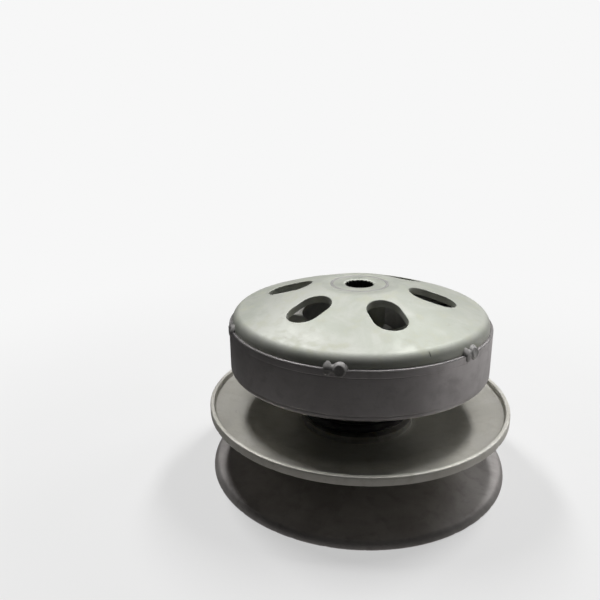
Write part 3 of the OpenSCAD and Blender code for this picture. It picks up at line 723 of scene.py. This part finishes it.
class Shader(Nodes):
    """A material's node tree. Its vectors are the piece's own place in millimetres."""

    def __init__(self, name):
        self.material = bpy.data.materials.new(name)
        super().__init__(self.material)
        place = self.add("ShaderNodeTexCoord").outputs["Object"]
        scaled = self.add("ShaderNodeVectorMath", {0: place, "Scale": 1 / MM}, operation="SCALE")
        self.place = scaled.outputs[0]

    def noise(self, size, detail=3, rough=0.55, vector=None, distortion=0.0):
        """Noise from 0 to 1 with features of about size millimetres."""
        inputs = {"Vector": vector or self.place, "Scale": 1 / size, "Detail": detail, "Roughness": rough,
                  "Distortion": distortion}
        return self.add("ShaderNodeTexNoise", inputs).outputs["Fac"]

    def mix(self, share, a, b):
        """Colour a where share is 0 and colour b where it is 1."""
        node = self.add("ShaderNodeMix", data_type="RGBA")
        for index, value in ((0, share), (6, a), (7, b)):
            if isinstance(value, bpy.types.NodeSocket):
                self.tree.links.new(value, node.inputs[index])
            elif index == 0:
                node.inputs[0].default_value = value
            else:
                node.inputs[index].default_value = (*value, 1)
        return node.outputs[2]

    def polar(self):
        """Distance from the Z axis, and height, in millimetres."""
        x, y, z = self.add("ShaderNodeSeparateXYZ", {0: self.place}).outputs
        squares = self.math("ADD", self.math("MULTIPLY", x, x), self.math("MULTIPLY", y, y))
        return self.math("SQRT", squares), z

    def turned(self, size):
        """Noise that is the same all round the Z axis: turning marks of about size millimetres."""
        radius, z = self.polar()
        return self.noise(size, 3, 0.6, self.add("ShaderNodeCombineXYZ", {0: radius, 1: z}).outputs[0])

    def edge(self, width):
        """Near 1 on edges and near 0 on flats."""
        soft = self.add("ShaderNodeBevel", {"Radius": width * MM}, samples=4).outputs[0]
        true = self.add("ShaderNodeNewGeometry").outputs["Normal"]
        return self.spread(self.math("SUBTRACT", 1.0, self.dot(soft, true)), 0.009, 0.25)

    def bump(self, height, depth, onto=None):
        """depth is what a change of 1 in height stands for, in millimetres."""
        inputs = {"Height": height, "Distance": depth * MM, "Strength": 1.0}
        if onto is not None:
            inputs["Normal"] = onto
        return self.add("ShaderNodeBump", inputs).outputs[0]

    def finish(self, colour, rough, metal, normal):
        inputs = {"Base Color": colour, "Roughness": rough, "Metallic": metal, "Normal": normal}
        skin = self.add("ShaderNodeBsdfPrincipled", inputs)
        self.add("ShaderNodeOutputMaterial", {0: skin.outputs[0]})
        return self.material


def times(factor, colour):
    return tuple(factor * c for c in colour)


def phosphated(name, tones, rough, metal, stain=None, marks=0.0, wear=None, grain=0.012, bore=None,
               scratch=None, grime=None):
    """Satin phosphated steel: soft clouds of tone, stains, fine blasted grain. Options are turning marks,
    painted shade inside a bore (its radius and the height of its mouth), an upright scratch (its
    direction, foot and top) and a painted shadow, darker towards the middle, that fades out between two
    radii."""
    s = Shader(name)
    clouds = s.noise(24, 4, 0.6, distortion=0.6)
    patches = s.noise(7, 4, 0.65, distortion=0.3)
    specks = s.noise(0.9, 3, 0.7)
    colour = s.mix(s.spread(clouds, 0.38, 0.62), tones[0], tones[1])
    colour = s.mix(s.spread(patches, 0.48, 0.72, 0, 0.7), colour, tones[2])
    colour = s.mix(s.spread(specks, 0.62, 0.75, 0, 0.28), colour, times(0.55, tones[0]))
    if stain:
        blot = s.spread(s.noise(13, 5, 0.7, distortion=1.2), 0.6, 0.72, 0, 0.5)
        colour = s.mix(blot, colour, stain)
    roughness = s.math("ADD", s.spread(patches, 0.3, 0.7, rough - 0.05, rough + 0.07),
                       s.math("MULTIPLY", specks, 0.05))
    height = s.math("ADD", s.noise(0.55, 2, 0.5), s.math("MULTIPLY", s.noise(0.22, 2, 0.5), 0.6))
    normal = s.bump(height, grain)
    if marks:
        rings = s.turned(0.35)
        normal = s.bump(rings, marks, onto=normal)
        colour = s.mix(s.spread(rings, 0.5, 0.75, 0, 0.25), colour, times(1.15, tones[1]))
    # Lighter edges: rubbed wear, and where the edge colour is raised, as on the fixed face, also a painted
    # highlight.
    if wear:
        worn = s.math("MULTIPLY", s.edge(0.5), s.spread(s.noise(2.2, 4, 0.7), 0.35, 0.6, 0.35, 1))
        colour = s.mix(worn, colour, wear)
        roughness = s.math("SUBTRACT", roughness, s.math("MULTIPLY", worn, 0.14))
    # Painted shadow of the bell: the colour darkens towards the middle inside the given radii, with a cloudy
    # edge.
    if grime:
        dust_and_shade = s.math("ADD", s.polar()[0], s.math("MULTIPLY", clouds, 8.0))
        colour = s.mix(s.spread(dust_and_shade, grime[0], grime[1], 0.6, 0), colour, times(0.35, tones[2]))
    # Painted shade inside the bore: below its mouth the colour is darkened almost to black.
    if bore:
        radius, z = s.polar()
        painted_bore_shade = s.math("MULTIPLY", s.spread(radius, bore[0], bore[0] + 0.5, 1, 0),
                      s.spread(z, bore[1] - 1.1, bore[1] - 0.4, 1, 0))
        colour = s.mix(painted_bore_shade, colour, times(0.09, tones[0]))
    if scratch:
        angle, foot, top = scratch
        side = s.dot(s.place, (-math.sin(angle), math.cos(angle), 0))
        front = s.dot(s.place, (math.cos(angle), math.sin(angle), 0))
        z = s.polar()[1]
        line = s.spread(s.math("ABSOLUTE", side), 0.1, 0.32, 1, 0)
        for mask in (s.spread(front, 50, 51), s.spread(z, foot, foot + 0.8),
                     s.spread(z, top - 0.8, top, 1, 0)):
            line = s.math("MULTIPLY", line, mask)
        colour = s.mix(s.math("MULTIPLY", line, 0.65), colour, (0.05, 0.05, 0.05))
        normal = s.bump(line, -0.15, onto=normal)
    return s.finish(colour, roughness, metal, normal)


def machined(name, tone, dark, rough, marks, pitch=0.3, tint=None):
    """Turned or ground metal with rings from the tool, a little oil and dirt, and brighter edges."""
    s = Shader(name)
    rings = s.turned(pitch)
    smear = s.noise(9, 4, 0.6, distortion=0.8)
    colour = s.mix(s.spread(smear, 0.4, 0.7, 0, 0.75), tone, dark)
    colour = s.mix(s.spread(rings, 0.4, 0.7, 0, 0.35), colour, times(0.75, tone))
    if tint:
        colour = s.mix(s.spread(s.noise(5, 4, 0.65, distortion=0.5), 0.5, 0.7, 0, 0.6), colour, tint)
    worn = s.math("MULTIPLY", s.edge(0.3), s.spread(s.noise(1.5, 3, 0.6), 0.3, 0.6, 0.4, 1))
    colour = s.mix(worn, colour, tuple(min(0.9, c) for c in times(1.25, tone)))
    roughness = s.math("ADD", s.spread(smear, 0.3, 0.7, rough - 0.04, rough + 0.08),
                       s.math("MULTIPLY", rings, 0.08))
    normal = s.bump(rings, marks, onto=s.bump(s.noise(0.3, 2, 0.5), 0.003))
    return s.finish(colour, roughness, 1.0, normal)


def cast(name, tone, dark, rough):
    """As-cast aluminium: orange-peel skin, fine pits, dull with brighter rubbed edges."""
    s = Shader(name)
    skin = s.noise(1.3, 4, 0.6)
    clouds = s.noise(11, 4, 0.6, distortion=0.5)
    pits = s.spread(s.noise(0.5, 2, 0.5), 0.66, 0.74)
    colour = s.mix(s.spread(clouds, 0.35, 0.65, 0, 0.8), tone, dark)
    colour = s.mix(s.math("MULTIPLY", pits, 0.6), colour, times(0.35, dark))
    worn = s.math("MULTIPLY", s.edge(0.5), s.spread(s.noise(1.8, 3, 0.6), 0.3, 0.6, 0.3, 1))
    colour = s.mix(worn, colour, (0.86, 0.86, 0.85))
    height = s.math("SUBTRACT", skin, s.math("MULTIPLY", pits, 0.5))
    roughness = s.spread(skin, 0.3, 0.7, rough - 0.06, rough + 0.08)
    return s.finish(colour, roughness, 0.9, s.bump(height, 0.06))


def compound(name, tone, fleck, light):
    """Moulded friction lining: dark resin with flecks of brass wire and pale fibre."""
    s = Shader(name)
    cells = s.add("ShaderNodeTexVoronoi", {"Vector": s.place, "Scale": 1.5, "Randomness": 1.0})
    flecks = cells.outputs["Distance"]
    fibres = s.noise(0.6, 4, 0.7, distortion=1.5)
    colour = s.mix(s.spread(s.noise(4, 4, 0.7), 0.35, 0.65), tone, times(1.5, tone))
    colour = s.mix(s.spread(flecks, 0.06, 0.14, 0.85, 0), colour, fleck)
    colour = s.mix(s.spread(fibres, 0.62, 0.7, 0, 0.5), colour, light)
    shine = s.spread(flecks, 0.06, 0.14, 0.6, 0)
    return s.finish(colour, 0.78, shine, s.bump(s.math("ADD", fibres, flecks), 0.05))


def rubber(name, tone, rough):
    """Moulded rubber with a dusty bloom and a fine skin."""
    s = Shader(name)
    bloom = s.noise(3, 4, 0.65, distortion=0.6)
    colour = s.mix(s.spread(bloom, 0.4, 0.75, 0, 0.6), tone, tuple(2.2 * c + 0.02 for c in tone))
    return s.finish(colour, s.spread(bloom, 0.3, 0.7, rough - 0.1, rough + 0.12), 0.0,
                    s.bump(s.noise(0.25, 2, 0.5), 0.012))


def enamelled(name, tone, rough, chip):
    """Dark baked paint on spring wire: slight orange peel, dust, chips down to grey metal."""
    s = Shader(name)
    dust_and_shade = s.noise(6, 4, 0.65, distortion=0.4)
    chips = s.spread(s.noise(1.7, 5, 0.72, distortion=0.8), 0.69, 0.73)
    colour = s.mix(s.spread(dust_and_shade, 0.45, 0.75, 0, 0.5), tone, tuple(2.6 * c + 0.012 for c in tone))
    colour = s.mix(chips, colour, chip)
    roughness = s.math("ADD", s.spread(dust_and_shade, 0.3, 0.7, rough - 0.05, rough + 0.15),
                       s.math("MULTIPLY", chips, 0.1))
    height = s.math("SUBTRACT", s.noise(0.8, 2, 0.5), s.math("MULTIPLY", chips, 0.8))
    return s.finish(colour, roughness, s.math("MULTIPLY", chips, 0.9), s.bump(height, 0.02))


BELL_TONES = [(0.50, 0.52, 0.46), (0.57, 0.58, 0.53), (0.55, 0.56, 0.46)]
BELL_STAIN, BELL_WEAR = (0.42, 0.41, 0.36), (0.62, 0.62, 0.60)
MOVABLE_TONES = [(0.78, 0.76, 0.69), (0.84, 0.82, 0.76), (0.70, 0.68, 0.61)]
FIXED_TONES = [(0.36, 0.34, 0.33), (0.42, 0.40, 0.39), (0.32, 0.30, 0.29)]
BAND_TONES = [(0.42, 0.40, 0.40), (0.48, 0.46, 0.46), (0.38, 0.36, 0.36)]
WELD_TONES = [(0.40, 0.39, 0.38), (0.46, 0.45, 0.44), (0.34, 0.33, 0.32)]
# how each material slot is made: its function, tones, roughness, how metallic it is, and options
RECIPES = {
    "bell_steel": (phosphated, BELL_TONES, 0.56, 0.45, dict(
        stain=BELL_STAIN, wear=BELL_WEAR, scratch=(math.radians(-61.8), 83.6, 86.3))),
    # The movable face gets a painted shadow of the bell that fades out between radii 56 and 72.
    "movable_face_steel": (phosphated, MOVABLE_TONES, 0.50, 0.45, dict(
        stain=(0.55, 0.53, 0.49), marks=0.012, wear=(0.90, 0.88, 0.84), grime=(56, 72))),
    # The fixed face's edge colour is raised past worn metal into a painted highlight along the rolled rim.
    "fixed_face_steel": (phosphated, FIXED_TONES, 0.55, 0.55, dict(
        stain=(0.27, 0.24, 0.23), marks=0.014, wear=(0.80, 0.77, 0.76))),
    "band_steel": (phosphated, BAND_TONES, 0.40, 0.8, dict(
        stain=(0.37, 0.35, 0.34), marks=0.01, wear=(0.95, 0.94, 0.92), grain=0.006)),
    "weld_metal": (phosphated, WELD_TONES, 0.55, 0.5, dict(
        stain=(0.28, 0.27, 0.26), wear=(0.52, 0.52, 0.50), grain=0.012)),
    "machined_steel": (machined, (0.62, 0.62, 0.60), (0.42, 0.41, 0.39), 0.30, dict(marks=0.015)),
    "bearing_steel": (machined, (0.70, 0.70, 0.70), (0.55, 0.55, 0.54), 0.14, dict(marks=0.004, pitch=0.2)),
    "cage_brass": (machined, (0.72, 0.55, 0.28), (0.50, 0.37, 0.18), 0.30, dict(marks=0.008)),
    "zinc_plate": (machined, (0.68, 0.67, 0.64), (0.52, 0.51, 0.48), 0.42, dict(
        marks=0.006, pitch=0.5, tint=(0.62, 0.57, 0.44))),
    "small_spring_steel": (machined, (0.60, 0.60, 0.60), (0.42, 0.41, 0.40), 0.25, dict(
        marks=0.003, pitch=0.4)),
    "spring_steel": (enamelled, (0.018, 0.018, 0.020), 0.34, dict(chip=(0.30, 0.29, 0.28))),
    "shoe_aluminium": (cast, (0.66, 0.66, 0.66), (0.50, 0.50, 0.50), 0.44, {}),
    "friction_lining": (compound, (0.075, 0.060, 0.048), dict(
        fleck=(0.62, 0.45, 0.22), light=(0.32, 0.28, 0.22))),
    "black_rubber": (rubber, (0.018, 0.018, 0.019), 0.62, {}),
    "brown_rubber": (rubber, (0.085, 0.032, 0.018), 0.5, {}),
    "black_plastic": (rubber, (0.026, 0.026, 0.029), 0.45, {}),
}
looks = {name: maker(name, *values, **options) for name, (maker, *values, options) in RECIPES.items()}

for row in frame["record"]["subparts"]:
    node = nodes[row["node"]]
    node.data.materials.clear()
    node.data.materials.append(looks[row["material_slot"]])
    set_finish(node, row["material_slot"])
for piece in (bell, band, welds, hub, movable_face, fixed_face, contra_spring, *shoe_springs):
    piece.data.materials.clear()
    piece.data.materials.append(looks[piece["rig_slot"]])
# The hub's steel adds painted shade inside the splined bore.
hub.data.materials[0] = phosphated("hub_steel", BELL_TONES, 0.5, 0.5, stain=BELL_STAIN, marks=0.006,
                                   wear=BELL_WEAR, bore=(ROOT_R + 0.1, BELL_TOP))


# ---------------------------------------------------------------- floor, light and camera

PALE = (0.93, 0.93, 0.93, 1)


def build_world():
    """A dim room with a little more light from the right and from above; the camera sees it pale."""
    world = bpy.data.worlds.new("studio")
    bpy.context.scene.world = world
    s = Nodes(world)
    way = s.add("ShaderNodeTexCoord").outputs["Generated"]

    def lobe(direction, start, strength):
        """Soft light from the part of the room that lies in a direction."""
        return s.spread(s.dot(way, Vector(direction).normalized()), start, 1.0, 0.0, strength)

    lobes = s.math("ADD", lobe((1, 0.3, 0.8), 0.5, 0.09), lobe((0, 0.5, 1), 0.3, 0.07))
    room = s.add("ShaderNodeBackground", {"Strength": s.math("ADD", lobes, 0.01)}).outputs[0]
    sight = s.add("ShaderNodeBackground", {"Color": PALE}).outputs[0]
    s.add("ShaderNodeOutputWorld", {0: s.camera_only(sight, room)})


def build_floor():
    """A pale floor that fades into the room; the light it throws back is stronger near the object and
    on the right."""
    mesh = bpy.data.meshes.new("floor")
    work = bmesh.new()
    bmesh.ops.create_circle(work, cap_ends=True, segments=96, radius=6.0)
    bmesh.ops.translate(work, verts=work.verts, vec=(0, 0, -0.0002))
    work.to_mesh(mesh)
    work.free()
    floor = bpy.data.objects.new("floor", mesh)
    bpy.context.scene.collection.objects.link(floor)
    s = Shader("pale_floor")
    x, y, _ = s.add("ShaderNodeSeparateXYZ", {0: s.place}).outputs
    away = s.polar()[0]
    colour = s.mix(s.noise(60, 3, 0.5), (0.80, 0.80, 0.795), (0.83, 0.83, 0.83))
    paint = s.add("ShaderNodeBsdfDiffuse", {"Color": colour}).outputs[0]
    haze = s.add("ShaderNodeEmission", {"Color": PALE}).outputs[0]
    fade = s.spread(away, 130, 420, 0.55, 1.0)
    seen = s.add("ShaderNodeMixShader", {0: fade, 1: paint, 2: haze}).outputs[0]
    to_right = s.math("DIVIDE", s.math("ADD", x, s.math("MULTIPLY", y, 0.4)), s.math("ADD", away, 40.0))
    all_round = s.spread(away, 100, 220, 0.26, 0.055)
    right_side = s.math("MULTIPLY", s.spread(to_right, 0.1, 1.0, 0, 0.75),
                        s.spread(away, 100, 320, 0.35, 1.0))
    glow = s.math("ADD", all_round, right_side)
    dim = s.add("ShaderNodeEmission", {"Color": (1, 0.98, 0.97, 1), "Strength": glow}).outputs[0]
    s.add("ShaderNodeOutputMaterial", {0: s.camera_only(seen, dim)})
    mesh.materials.append(s.material)


def area_light(name, direction, distance, size, power):
    """A soft rectangular light that faces the object from a direction, its second side along Y."""
    lamp = bpy.data.lights.new(name, "AREA")
    lamp.shape, lamp.size, lamp.size_y = "RECTANGLE", size[0], size[1]
    lamp.energy = power
    place = bpy.data.objects.new(name, lamp)
    way = Vector(direction).normalized()
    place.location = Vector((0, 0, 0.05)) + way * distance
    along = (Vector((0, 1, 0)) - way * way.y).normalized()
    place.rotation_mode = "QUATERNION"
    place.rotation_quaternion = Matrix((along.cross(way), along, way)).transposed().to_quaternion()
    place.visible_camera = False
    bpy.context.scene.collection.objects.link(place)


def build_camera():
    """The viewpoint of the reference view: a normal lens at arm's length, looking down on the front."""
    pitch, yaw, roll = 0.3091, 0.1046, 0.0098
    forward = Vector((-math.sin(yaw) * math.cos(pitch), math.cos(yaw) * math.cos(pitch), -math.sin(pitch)))
    right = Vector((math.cos(yaw), math.sin(yaw), 0))
    up = right.cross(forward)
    tilted_right = math.cos(roll) * right - math.sin(roll) * up
    tilted_up = math.sin(roll) * right + math.cos(roll) * up
    lens = bpy.data.cameras.new("camera")
    lens.sensor_width = lens.lens = 36
    lens.shift_x, lens.shift_y = 0.0015, -0.0005
    lens.clip_start = 0.01
    place = bpy.data.objects.new("camera", lens)
    turn = Matrix((tilted_right, tilted_up, -forward)).transposed().to_4x4()
    place.matrix_world = Matrix.Translation((0, -0.2982, 0.1858)) @ turn
    bpy.context.scene.collection.objects.link(place)
    bpy.context.scene.camera = place


build_world()
build_floor()
area_light("left_key", (-0.38, 0.36, 1.0), 1.25, (0.12, 0.5), 7.8)
area_light("right_key", (0.38, 0.36, 1.0), 1.25, (0.13, 0.5), 8.2)
area_light("back_right", (0.70, 0.60, 0.5), 1.15, (0.3, 0.3), 1.5)
build_camera()
settings = bpy.context.scene.view_settings
settings.view_transform, settings.look = "Standard", "None"
settings.exposure, settings.gamma = 0.0, 1.0
